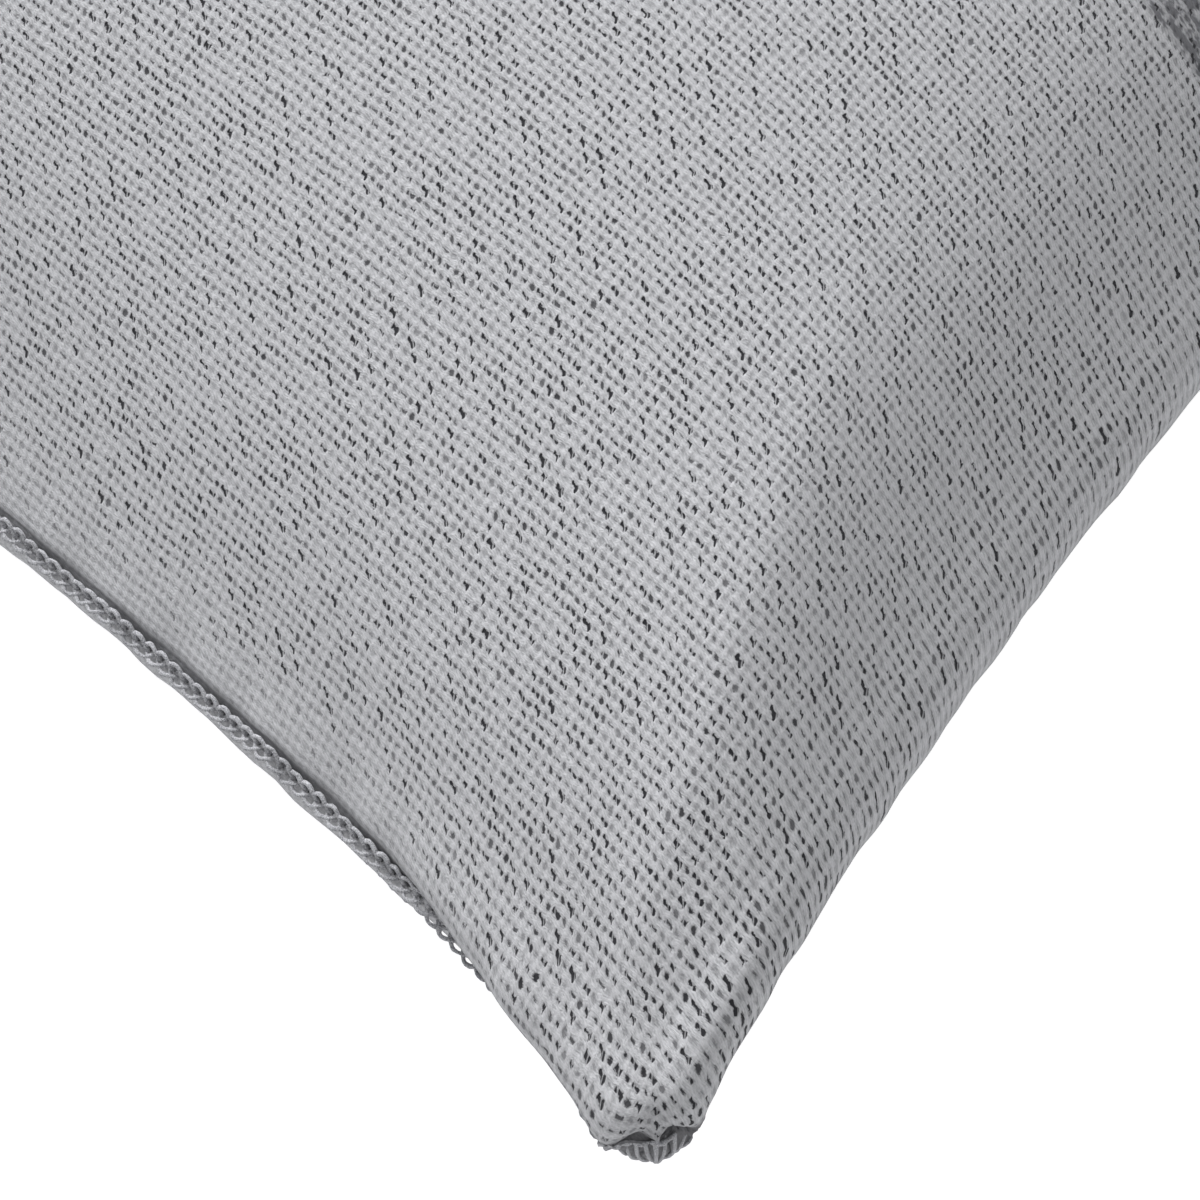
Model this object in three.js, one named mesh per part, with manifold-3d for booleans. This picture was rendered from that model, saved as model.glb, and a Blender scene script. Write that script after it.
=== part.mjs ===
// A square throw pillow: two knitted panels linked together round the edge, a zip in the rear edge,
// and a filled insert inside. Millimetres, +Z up. The pillow lies on its back panel, and the origin
// is the middle of the face that it rests on. The front edge faces -Y and the zip faces +Y.
import * as THREE from "three";
import { mergeVertices } from "three/addons/utils/BufferGeometryUtils.js";
import Module from "manifold-3d";

const wasm = await Module();
wasm.setup();

// Overall size, filled
const cornerReach = 224; // from the middle to an ear's tip, along X and along Y, before it is rounded
const edgePullIn = 16; // how far the filling pulls in the middle of an edge
const frontCrown = 82; // height of the front panel above the seam
const seamLevel = 62; // depth of the back panel, and so the height of the seam
const flatShare = 0.84; // of the depth that the back panel would have if nothing flattened it
const bowPower = 1.5; // how late an edge swings out to its ears
const earRound = 0.07; // share of an edge that rounds off into the ear's tip

// Profile of a panel from its middle, 0, to its edge, 1: (1 - r^spread)^steepness
const edgeSpread = 2.2;
const edgeSteepness = 0.55;
const earSpread = 1.7;
const earSteepness = 0.85;
const earPower = 4; // how near an ear its own profile begins

// Knitted cover
const coverWall = 2.4;
const seamHeight = 2.4;
const seamWidth = 4;
const seamStandOut = 1;
const touchGap = 0.3; // between pieces that lie on each other

// Insert
const casingWall = 0.8;
const insertSeamHeight = 1;
const insertSeamWidth = 3;
const insertSeamStandOut = 0.8;
const fillEdgeHeight = 1;
const softGap = 0.9; // between soft layers

// Zip
const zipToEar = 64; // from each end of the tapes to the ear beside it, along X
const zipEndMargin = 5; // of straight edge past each end of the tapes
const zipSeamStart = 4; // from the end of the straight edge to the seam beside it
const tapeThickness = 0.6;
const tapeRise = 14; // from the seam's level to a tape's far edge
const coilThickness = 1.8;
const coilWidth = 1.7;
const coilGap = 1.2; // between the two coils, for the slider's bridge
const stopLength = 3;
const stopSetBack = 6; // from the end of the tapes to the outer face of a stop
const sliderLength = 11;
const sliderWidth = 8.5;
const sliderPlate = 1.1;
const sliderFlange = 0.85;
const bridgeLength = 3;
const bridgeThickness = 0.6;
const runClearance = 0.35; // round what the slider runs on
const sliderSideClearance = 0.5; // from the slider to the knitted rims
const stitchThread = 0.6;
const stitchSetBack = 3; // from a knitted rim to the stitches that hold its tape

// Bail and pull tab
const bailWall = 0.9;
const bailWidth = 1.8;
const bailOpening = 4.3;
const bailRise = 2.2;
const pullLength = 22;
const pullWidth = 6.4;
const pullThickness = 1.1;
const pullPin = 1.2; // the bar of the tab that turns inside the bail
const pullSlotWidth = 2.6;
const pullSlotEnd = 4.4; // from the pin's axis to the far end of the slot
const pullHoleRadius = 1.3;

// Blank care label, sewn in with the back tape
const labelLength = 26;
const labelThickness = 0.4;
const labelPlace = 110; // from the middle of the zip

// How finely the soft pieces are cut
const ringCount = 7;
const straightSteps = 3;
const earSteps = 3;
const seamSteps = 22;

// What follows from those sizes
const edgeReach = cornerReach - edgePullIn;
const rearSide = 2;
const zipHalf = cornerReach - zipToEar;
const straightHalf = zipHalf + zipEndMargin;
const straightShare = straightHalf / cornerReach;
const seamShare = (straightHalf + zipSeamStart) / cornerReach;
const seamLift = seamHeight / 2 + touchGap;
const zipLift = sliderWidth / 2 + sliderSideClearance;
const zipInset = coverWall + touchGap + tapeThickness / 2;
const zipLine = edgeReach - zipInset;
const sliderCavity = coilThickness / 2 + runClearance;
const sliderTop = sliderCavity + sliderPlate;
const insertInset = zipInset + sliderTop + sliderSideClearance + insertSeamStandOut;
const insertLift = insertSeamHeight / 2 + touchGap;
const earTipCut = (earRound * (1 + (bowPower * edgePullIn) / cornerReach)) / 4;

const knitColour = 0xb7b8bb;
const threadColour = 0xa9aaae;

function material(color, roughness, metalness = 0) {
  return new THREE.MeshStandardMaterial({ color, roughness, metalness });
}

function piece(name, geometry, look) {
  const made = new THREE.Mesh(geometry, look);
  made.name = name;
  return made;
}

// Share of the way from where an edge starts to swing out, 0, to the ear's tip, 1, at s, which runs
// from -1 at one ear to 1 at the next. The rear edge is straight along the zip.
function swingAt(side, s) {
  const start = side === rearSide ? straightShare : 0;
  return Math.max(0, (Math.abs(s) - start) / (1 - start));
}

function reachAt(side, s) {
  return edgeReach + edgePullIn * swingAt(side, s) ** bowPower;
}

// The outline seen from above, at t from 0 to 4 anticlockwise round the edges: front, right, rear, left
function outlinePoint(t, inset) {
  const side = Math.floor(t) % 4;
  const s = 2 * (t - Math.floor(t)) - 1;
  const intoTip = Math.max(0, (Math.abs(s) - 1 + earRound) / earRound);
  const round = 1 - earTipCut * intoTip ** 2;
  const along = (cornerReach - inset) * s * round;
  const out = (reachAt(side, s) - inset) * round;
  return new THREE.Vector2(along, -out).rotateAround(new THREE.Vector2(), (side * Math.PI) / 2);
}

// The places round the outline where the soft pieces have their corners
function outlineStations() {
  const shares = [];
  for (let i = 0; i <= straightSteps; i++) shares.push((straightShare * i) / straightSteps);
  for (let i = 0; i < earSteps; i++) {
    const eased = Math.sin((Math.PI / 2) * (i / earSteps));
    shares.push(seamShare + (1 - seamShare) * eased);
  }
  const edge = [-1, ...shares.slice(1).reverse().map((s) => -s), ...shares];
  return [0, 1, 2, 3].flatMap((side) => edge.map((s) => side + (s + 1) / 2));
}

// How far a cover panel's rim stands off the seam's level: clear of the seam, or of the zip
function coverLift(t) {
  const side = Math.floor(t) % 4;
  const s = 2 * (t - Math.floor(t)) - 1;
  return side === rearSide && Math.abs(s) <= straightShare + 1e-9 ? zipLift : seamLift;
}

// A point of a soft layer at t round the outline and r from the middle, 0, to the rim, 1
function layerPoint(layer, t, r) {
  const plan = outlinePoint(t, layer.inset).multiplyScalar(r);
  const towardsEar = r ** 2 * swingAt(Math.floor(t) % 4, 2 * (t - Math.floor(t)) - 1) ** earPower;
  const spread = THREE.MathUtils.lerp(edgeSpread, earSpread, towardsEar);
  const steepness = THREE.MathUtils.lerp(edgeSteepness, earSteepness, towardsEar);
  const fullness = (1 - r ** spread) ** steepness;
  const share = layer.up ? fullness : Math.min(1, fullness / flatShare);
  const lift = layer.lift(t);
  const rise = lift + (layer.depth - lift) * share;
  return [plan.x, plan.y, layer.up ? seamLevel + rise : seamLevel - rise];
}

const ringShare = (i) => Math.sin((Math.PI / 2) * (i / ringCount));

// A closed solid between an upper and a lower layer, joined round their rims
function layeredSolid(upper, lower) {
  const stations = outlineStations();
  const around = stations.length;
  const positions = [];
  const triangles = [];
  const starts = [upper, lower].map((layer) => {
    const start = positions.length / 3;
    positions.push(...layerPoint(layer, 0, 0));
    for (let i = 1; i <= ringCount; i++)
      for (const t of stations) positions.push(...layerPoint(layer, t, ringShare(i)));
    return start;
  });
  const at = (layer, ring, k) => starts[layer] + 1 + (ring - 1) * around + (k % around);
  const quad = (a, b, c, d) => triangles.push(a, b, c, a, c, d);
  for (let k = 0; k < around; k++) {
    triangles.push(starts[0], at(0, 1, k), at(0, 1, k + 1));
    triangles.push(starts[1], at(1, 1, k + 1), at(1, 1, k));
    for (let ring = 1; ring < ringCount; ring++) {
      quad(at(0, ring, k), at(0, ring + 1, k), at(0, ring + 1, k + 1), at(0, ring, k + 1));
      quad(at(1, ring, k + 1), at(1, ring + 1, k + 1), at(1, ring + 1, k), at(1, ring, k));
    }
    quad(at(0, ringCount, k), at(1, ringCount, k), at(1, ringCount, k + 1), at(0, ringCount, k + 1));
  }
  const geometry = new THREE.BufferGeometry();
  geometry.setAttribute("position", new THREE.Float32BufferAttribute(positions, 3));
  geometry.setIndex(triangles);
  geometry.computeVertexNormals();
  return geometry;
}

// A soft layer that lies gap inside the pillow's outer face, and inset inside its outline
function softLayer(up, inset, gap, lift) {
  const depth = (up ? frontCrown : seamLevel) - gap;
  return { up, inset, depth, lift };
}

// The upper and the lower layer of a casing's panel
function panelLayers(up, inset, gap, wall, lift) {
  const outer = softLayer(up, inset, gap, lift);
  const inner = softLayer(up, inset + wall, gap + wall, lift);
  return up ? [outer, inner] : [inner, outer];
}

const insertGap = coverWall + softGap;
const fillGap = insertGap + casingWall + softGap;

function coverPanels() {
  const knit = material(knitColour, 0.95);
  return [
    piece("cover_front", layeredSolid(...panelLayers(true, 0, 0, coverWall, coverLift)), knit),
    piece("cover_back", layeredSolid(...panelLayers(false, 0, 0, coverWall, coverLift)), knit.clone()),
  ];
}

function insertPieces() {
  const cotton = material(0xe9e6df, 0.9);
  const lift = () => insertLift;
  const panel = (up) => layeredSolid(...panelLayers(up, insertInset, insertGap, casingWall, lift));
  const outline = edgeBand(insertInset - insertSeamStandOut, insertSeamWidth, 0, 4, 4 * seamSteps);
  return [
    piece("insert_casing_front", panel(true), cotton),
    piece("insert_casing_back", panel(false), cotton.clone()),
    piece("insert_seam", flatBand(outline, insertSeamHeight), material(0xdcd8d0, 0.9)),
    piece("fill_core", fillSolid(), material(0xf4f3f0, 1)),
  ];
}

function fillSolid() {
  const inset = insertInset + casingWall + softGap + insertSeamWidth;
  const lift = () => fillEdgeHeight / 2;
  return layeredSolid(softLayer(true, inset, fillGap, lift), softLayer(false, inset, fillGap, lift));
}

// A band that follows the outline from t0 to t1: a ring when it goes all the way round
function edgeBand(inset, width, t0, t1, steps) {
  const row = (offset, count) => {
    const points = [];
    for (let i = 0; i < count; i++) points.push(outlinePoint(t0 + ((t1 - t0) * i) / steps, offset));
    return points;
  };
  if (t1 - t0 < 4) {
    const outer = row(inset, steps + 1);
    return new THREE.Shape([...outer, ...row(inset + width, steps + 1).reverse()]);
  }
  const ring = new THREE.Shape(row(inset, steps));
  ring.holes.push(new THREE.Path(row(inset + width, steps).reverse()));
  return ring;
}

function flatBand(shape, height) {
  const geometry = new THREE.ExtrudeGeometry(shape, { depth: height, bevelEnabled: false });
  return geometry.translate(0, 0, seamLevel - height / 2);
}

function seams() {
  const apart = touchGap / (2 * cornerReach);
  const beside = (1 - seamShare) / 2;
  const runs = {
    seam_front: [apart, 1 - apart],
    seam_right: [1 + apart, 2 - apart],
    seam_left: [3 + apart, 4 - apart],
    seam_rear_right: [2 + apart, 2 + beside],
    seam_rear_left: [3 - beside, 3 - apart],
  };
  return Object.entries(runs).map(([name, [t0, t1]]) => {
    const steps = Math.max(4, Math.round(seamSteps * (t1 - t0)));
    const band = edgeBand(-seamStandOut, seamWidth, t0, t1, steps);
    return piece(name, flatBand(band, seamHeight), material(threadColour, 0.95));
  });
}

// A section drawn in Y and Z, run along X from one place to another
function alongX(shape, from, to) {
  const geometry = new THREE.ExtrudeGeometry(shape, { depth: to - from, bevelEnabled: false, curveSegments: 6 });
  const turn = new THREE.Matrix4().makeBasis(
    new THREE.Vector3(0, 1, 0),
    new THREE.Vector3(0, 0, 1),
    new THREE.Vector3(1, 0, 0),
  );
  return geometry.applyMatrix4(turn).translate(from, 0, 0);
}

function boxBetween(low, high) {
  const size = high.map((value, i) => value - low[i]);
  const middle = high.map((value, i) => (value + low[i]) / 2);
  return new THREE.BoxGeometry(...size).translate(...middle);
}

function asSolid(geometry) {
  const bare = geometry.clone();
  bare.deleteAttribute("normal");
  bare.deleteAttribute("uv");
  const merged = mergeVertices(bare, 1e-4);
  const triVerts = new Uint32Array(merged.index.array);
  const vertProperties = new Float32Array(merged.attributes.position.array);
  return new wasm.Manifold(new wasm.Mesh({ numProp: 3, vertProperties, triVerts }));
}

function joined(geometries) {
  const solid = geometries.map(asSolid).reduce((a, b) => a.add(b));
  const mesh = solid.getMesh();
  const geometry = new THREE.BufferGeometry();
  geometry.setAttribute("position", new THREE.BufferAttribute(mesh.vertProperties, 3));
  geometry.setIndex(new THREE.BufferAttribute(mesh.triVerts, 1));
  geometry.computeVertexNormals();
  return geometry;
}

// How far out a cover panel's face lies, measured from the zip's line, at a height off the seam's level.
// The face is depth inside the outer one: 0, or the wall for the inner face.
function wallFromZip(up, height, depth) {
  const layer = softLayer(up, depth, depth, coverLift);
  const middle = rearSide + 0.5;
  const [, rimY, rimZ] = layerPoint(layer, middle, 1);
  const [, ringY, ringZ] = layerPoint(layer, middle, ringShare(ringCount - 1));
  const share = (height - Math.abs(rimZ - seamLevel)) / Math.abs(ringZ - rimZ);
  return THREE.MathUtils.lerp(rimY, ringY, share) - zipLine;
}

// A strip that starts flat beside the coil and then follows the inside of a panel's wall
function stripSection(up, start, end, thickness, setBack) {
  const way = up ? 1 : -1;
  const bend = Math.max(start, zipLift);
  const half = thickness / 2;
  const foot = -setBack;
  const top = wallFromZip(up, end, coverWall) - touchGap - tapeThickness / 2 - setBack;
  const bendY = THREE.MathUtils.lerp(foot, top, (bend - zipLift) / (end - zipLift));
  const startY = start < zipLift ? foot : bendY;
  const right = [[startY + half, start], [bendY + half, bend], [top + half, end]];
  const left = [[top - half, end], [bendY - half, bend], [startY - half, start]];
  const corners = start < bend ? [...right, ...left] : [...right.slice(1), ...left.slice(0, 2)];
  const points = corners.map(([y, z]) => new THREE.Vector2(y, way * z));
  return new THREE.Shape(up ? points : points.reverse());
}

function zipTapes() {
  const start = coilGap / 2 + coilWidth + touchGap;
  return [true, false].map((up) => {
    const section = stripSection(up, start, tapeRise, tapeThickness, 0);
    const name = up ? "zip_tape_front" : "zip_tape_back";
    return piece(name, alongX(section, -zipHalf, zipHalf), material(0xa7a8ab, 0.8));
  });
}

const topStopInner = -zipHalf + stopSetBack + stopLength;
const bottomStopInner = zipHalf - stopSetBack - stopLength;

function zipCoils() {
  return [1, -1].map((way) => {
    const section = new THREE.Shape();
    const middle = way * (coilGap / 2 + coilWidth / 2);
    section.absellipse(0, middle, coilThickness / 2, coilWidth / 2, 0, 2 * Math.PI);
    const run = alongX(section, topStopInner + touchGap, bottomStopInner - touchGap);
    return piece(way > 0 ? "zip_coil_front" : "zip_coil_back", run, material(0x9fa0a4, 0.45));
  });
}

function zipStops() {
  const half = coilThickness / 2;
  const near = coilGap / 2;
  const far = near + coilWidth;
  const top = topStopInner - stopLength;
  const bottom = bottomStopInner + stopLength;
  const metal = material(0x9a9b9e, 0.4, 1);
  return [
    piece("zip_top_stop_front", boxBetween([top, -half, near], [topStopInner, half, far]), metal),
    piece("zip_top_stop_back", boxBetween([top, -half, -far], [topStopInner, half, -near]), metal.clone()),
    piece("zip_bottom_stop", boxBetween([bottomStopInner, -half, -far], [bottom, half, far]), metal.clone()),
  ];
}

// The slider, with its middle at the origin and its bridge at the end that closes first
function sliderGeometry() {
  const halfLength = sliderLength / 2;
  const halfWidth = sliderWidth / 2;
  const slot = tapeThickness / 2 + touchGap;
  const overlap = 0.2;
  const bailOuter = bailOpening / 2 + bailWall;
  const parts = [];
  for (const way of [1, -1]) {
    const low = Math.min(way * sliderCavity, way * sliderTop);
    parts.push(boxBetween([-halfLength, low, -halfWidth], [halfLength, low + sliderPlate, halfWidth]));
    for (const side of [1, -1]) {
      const inner = Math.min(way * slot, way * (sliderCavity + overlap));
      const z = Math.min(side * halfWidth, side * (halfWidth - sliderFlange));
      const height = sliderCavity + overlap - slot;
      parts.push(boxBetween([-halfLength, inner, z], [halfLength, inner + height, z + sliderFlange]));
    }
    const post = Math.min(way * (bailOpening / 2), way * bailOuter);
    const postTop = sliderTop + bailRise + overlap;
    parts.push(boxBetween([post, sliderTop - overlap, -bailWidth / 2], [post + bailWall, postTop, bailWidth / 2]));
  }
  const bridgeReach = sliderCavity + overlap;
  const bridgeHalf = bridgeThickness / 2;
  parts.push(boxBetween([-halfLength, -bridgeReach, -bridgeHalf], [-halfLength + bridgeLength, bridgeReach, bridgeHalf]));
  const bailLow = sliderTop + bailRise;
  parts.push(boxBetween([-bailOuter, bailLow, -bailWidth / 2], [bailOuter, bailLow + bailWall, bailWidth / 2]));
  return joined(parts);
}

// The pull tab lying along X, with the axis of its pin along Z through the origin
function pullGeometry() {
  const half = pullWidth / 2;
  const neck = pullSlotWidth / 2 + pullPin;
  const end = pullLength - half;
  const tab = new THREE.Shape();
  tab.moveTo(-pullPin / 2, -neck);
  tab.lineTo(pullSlotEnd, -neck);
  tab.lineTo(pullSlotEnd + pullPin, -half);
  tab.absarc(end, 0, half, -Math.PI / 2, Math.PI / 2);
  tab.lineTo(pullSlotEnd + pullPin, half);
  tab.lineTo(pullSlotEnd, neck);
  tab.lineTo(-pullPin / 2, neck);
  const slot = [
    new THREE.Vector2(pullPin / 2, -pullSlotWidth / 2),
    new THREE.Vector2(pullPin / 2, pullSlotWidth / 2),
    new THREE.Vector2(pullSlotEnd, pullSlotWidth / 2),
    new THREE.Vector2(pullSlotEnd, -pullSlotWidth / 2),
  ];
  tab.holes.push(new THREE.Path(slot));
  const eye = new THREE.Path();
  eye.absarc(end, 0, pullHoleRadius, 0, 2 * Math.PI, true);
  tab.holes.push(eye);
  const geometry = new THREE.ExtrudeGeometry(tab, { depth: pullThickness, bevelEnabled: false, curveSegments: 7 });
  return geometry.translate(0, 0, -pullThickness / 2).rotateX(-Math.PI / 2);
}

function sliderAndPull() {
  const slider = piece("zip_slider_body", sliderGeometry(), material(0xa2a3a7, 0.35, 1));
  const pull = piece("zip_pull_tab", pullGeometry(), material(0xa2a3a7, 0.35, 1));
  pull.position.set(0, sliderTop + (bailRise + touchGap) / 2, 0);
  const group = new THREE.Group();
  group.add(slider, pull);
  group.position.x = topStopInner + touchGap + sliderLength / 2;
  return group;
}

function zipStitching() {
  return [true, false].map((up) => {
    const way = up ? 1 : -1;
    const height = zipLift + stitchSetBack;
    const y = wallFromZip(up, height - stitchThread / 2, 0) + touchGap;
    const low = [-zipHalf, y, way * height - stitchThread / 2];
    const high = [zipHalf, y + stitchThread, way * height + stitchThread / 2];
    const name = up ? "zip_stitching_front" : "zip_stitching_back";
    return piece(name, boxBetween(low, high), material(threadColour, 0.9));
  });
}

function careLabel() {
  const setBack = tapeThickness / 2 + touchGap + labelThickness / 2;
  const section = stripSection(false, zipLift + sliderSideClearance, tapeRise, labelThickness, setBack);
  const look = material(0xf2f1ee, 0.7);
  return piece("care_label", alongX(section, labelPlace - labelLength / 2, labelPlace + labelLength / 2), look);
}

function zip() {
  const group = new THREE.Group();
  group.add(...zipTapes(), ...zipCoils(), ...zipStops(), sliderAndPull(), ...zipStitching(), careLabel());
  group.position.set(0, zipLine, seamLevel);
  return group;
}

const pillow = new THREE.Group();
pillow.name = "throw_pillow";
pillow.add(...coverPanels(), ...seams(), zip(), ...insertPieces());

export default pillow;
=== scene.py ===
import math

import bpy
import numpy as np
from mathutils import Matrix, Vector


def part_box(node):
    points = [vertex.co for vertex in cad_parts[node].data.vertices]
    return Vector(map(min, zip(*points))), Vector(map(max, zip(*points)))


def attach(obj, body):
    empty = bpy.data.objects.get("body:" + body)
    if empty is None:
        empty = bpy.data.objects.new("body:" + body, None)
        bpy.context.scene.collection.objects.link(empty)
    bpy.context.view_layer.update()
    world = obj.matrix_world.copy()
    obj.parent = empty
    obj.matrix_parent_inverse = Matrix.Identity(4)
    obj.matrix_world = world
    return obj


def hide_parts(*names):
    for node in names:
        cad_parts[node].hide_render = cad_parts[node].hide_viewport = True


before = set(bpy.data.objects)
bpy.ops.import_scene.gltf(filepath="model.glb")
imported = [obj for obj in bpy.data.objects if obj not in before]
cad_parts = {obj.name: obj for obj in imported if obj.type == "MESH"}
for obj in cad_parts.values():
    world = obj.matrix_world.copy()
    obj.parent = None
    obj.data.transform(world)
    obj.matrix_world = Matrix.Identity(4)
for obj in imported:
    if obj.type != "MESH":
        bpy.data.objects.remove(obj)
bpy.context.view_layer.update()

# Camera, lights and floor

studio = {
    "lens": 90.0,  # mm
    "azimuth": 39.3,  # degrees, 0 looks along +Y
    "elevation": 64.3,
    "distance": 0.4884,  # metres from the point looked at
    "aim": (0.1570, -0.1569, 0.08),
    "keyPower": 510.0,
    "fillPower": 4.0,
    "ambient": 0.40,
    "floorGlow": 0.62,
    "floorBounce": 0.14,
    "floorShade": (0.93, 0.93, 0.935, 1.0),
}


def clearSelection():
    if bpy.context.mode != "OBJECT":
        bpy.ops.object.mode_set(mode="OBJECT")
    bpy.ops.object.select_all(action="DESELECT")


def takeOnly(piece):
    clearSelection()
    piece.select_set(True)
    bpy.context.view_layer.objects.active = piece


def lookFrom(azimuth, elevation):
    a, e = math.radians(azimuth), math.radians(elevation)
    return Vector((math.sin(a) * math.cos(e), -math.cos(a) * math.cos(e), math.sin(e)))


def addCamera():
    away = lookFrom(studio["azimuth"], studio["elevation"])
    turn = (-away).to_track_quat("-Z", "Y")
    place = Vector(studio["aim"]) + away * studio["distance"]
    bpy.ops.object.camera_add(location=place)
    camera = bpy.context.object
    camera.rotation_mode = "QUATERNION"
    camera.rotation_quaternion = turn
    camera.data.lens = studio["lens"]
    camera.data.clip_start = 0.01
    bpy.context.scene.camera = camera


def addSoftbox(place, aim, size, power):
    bpy.ops.object.light_add(type="AREA", location=place)
    lamp = bpy.context.object
    lamp.data.shape = "RECTANGLE"
    lamp.data.size = size
    lamp.data.size_y = size
    lamp.data.energy = power
    way = Vector(aim) - Vector(place)
    lamp.rotation_mode = "QUATERNION"
    lamp.rotation_quaternion = way.to_track_quat("-Z", "Y")
    return lamp


clearSelection()
addCamera()
addSoftbox((-3.84, 2.10, 3.73), (0.1, -0.1, 0.08), 2.4, studio["keyPower"])
addSoftbox((1.3, -1.0, 1.5), (0.1, -0.1, 0.08), 1.6, studio["fillPower"])
world = bpy.data.worlds.new("studioAir")
world.use_nodes = True
world.node_tree.nodes["Background"].inputs["Color"].default_value = (1.0, 1.0, 1.0, 1.0)
world.node_tree.nodes["Background"].inputs["Strength"].default_value = studio["ambient"]
bpy.context.scene.world = world
bpy.context.scene.view_settings.view_transform = "Standard"

bpy.ops.mesh.primitive_plane_add(size=60.0, location=(0, 0, 0))
floor = bpy.context.object
floor.name = "studio_floor"
print("camera, lights and floor placed")

# Node helpers


def calc(tree, operation, *values, clamp=False):
    node = tree.nodes.new("ShaderNodeMath")
    node.operation = operation
    node.use_clamp = clamp
    for place, value in enumerate(values):
        if isinstance(value, (int, float)):
            node.inputs[place].default_value = value
        else:
            tree.links.new(value, node.inputs[place])
    return node.outputs[0]


def vectorCalc(tree, operation, *values):
    node = tree.nodes.new("ShaderNodeVectorMath")
    node.operation = operation
    for place, value in enumerate(values):
        if isinstance(value, tuple):
            node.inputs[place].default_value = value
        elif isinstance(value, (int, float)):
            node.inputs["Scale"].default_value = value
        else:
            tree.links.new(value, node.inputs[place])
    return node.outputs[0]


def fade(tree, value, low, high, outLow=0.0, outHigh=1.0):
    node = tree.nodes.new("ShaderNodeMapRange")
    node.interpolation_type = "SMOOTHSTEP"
    names = ("Value", "From Min", "From Max", "To Min", "To Max")
    for name, given in zip(names, (value, low, high, outLow, outHigh)):
        if isinstance(given, (int, float)):
            node.inputs[name].default_value = given
        else:
            tree.links.new(given, node.inputs[name])
    return node.outputs["Result"]


def mixColour(tree, factor, first, second):
    node = tree.nodes.new("ShaderNodeMix")
    node.data_type = "RGBA"
    for place, value in ((0, factor), (6, first), (7, second)):
        if isinstance(value, (int, float, tuple)):
            node.inputs[place].default_value = value
        else:
            tree.links.new(value, node.inputs[place])
    return node.outputs[2]


def noise(tree, vector, scale, detail=2.0, roughness=0.5, output="Fac"):
    node = tree.nodes.new("ShaderNodeTexNoise")
    tree.links.new(vector, node.inputs["Vector"])
    node.inputs["Scale"].default_value = scale
    node.inputs["Detail"].default_value = detail
    node.inputs["Roughness"].default_value = roughness
    return node.outputs[output]


def newGroup(name, inputs, outputs):
    tree = bpy.data.node_groups.new(name, "ShaderNodeTree")
    for socket, kind in inputs:
        tree.interface.new_socket(socket, in_out="INPUT", socket_type=kind)
    for socket, kind in outputs:
        tree.interface.new_socket(socket, in_out="OUTPUT", socket_type=kind)
    entry = tree.nodes.new("NodeGroupInput")
    leave = tree.nodes.new("NodeGroupOutput")
    return tree, entry.outputs, leave.inputs


def placeGroup(tree, group, **values):
    node = tree.nodes.new("ShaderNodeGroup")
    node.node_tree = group
    for name, value in values.items():
        if isinstance(value, (int, float, tuple)):
            node.inputs[name].default_value = value
        else:
            tree.links.new(value, node.inputs[name])
    return node.outputs


def newMaterial(name):
    material = bpy.data.materials.new(name)
    material.use_nodes = True
    shader = material.node_tree.nodes["Principled BSDF"]
    return material, material.node_tree, shader


def bumpInto(tree, shader, height, strength, distance):
    node = tree.nodes.new("ShaderNodeBump")
    node.inputs["Strength"].default_value = strength
    node.inputs["Distance"].default_value = distance
    tree.links.new(height, node.inputs["Height"])
    tree.links.new(node.outputs[0], shader.inputs["Normal"])


def objectPlace(tree):
    return tree.nodes.new("ShaderNodeTexCoord").outputs["Object"]


def mapPlace(tree, name):
    node = tree.nodes.new("ShaderNodeUVMap")
    node.uv_map = name
    return node.outputs[0]


# Node groups


def holeRow(tree, a, b, shift):
    # Place inside one diamond of the stitch lattice, and four even random numbers for it
    movedA = calc(tree, "ADD", a, shift)
    movedB = calc(tree, "ADD", b, shift)
    cellA = calc(tree, "ROUND", movedA)
    cellB = calc(tree, "ROUND", movedB)
    inA = calc(tree, "SUBTRACT", movedA, cellA)
    inB = calc(tree, "SUBTRACT", movedB, cellB)
    along = calc(tree, "ADD", inA, inB)
    across = calc(tree, "SUBTRACT", inA, inB)
    cell = tree.nodes.new("ShaderNodeCombineXYZ")
    tree.links.new(cellA, cell.inputs[0])
    tree.links.new(cellB, cell.inputs[1])
    cell.inputs[2].default_value = shift * 7.0
    random = tree.nodes.new("ShaderNodeTexWhiteNoise")
    random.noise_dimensions = "3D"
    tree.links.new(cell.outputs[0], random.inputs["Vector"])
    split = tree.nodes.new("ShaderNodeSeparateColor")
    tree.links.new(random.outputs["Color"], split.inputs[0])
    return along, across, split.outputs[0], split.outputs[1], split.outputs[2], random.outputs["Value"]


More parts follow.
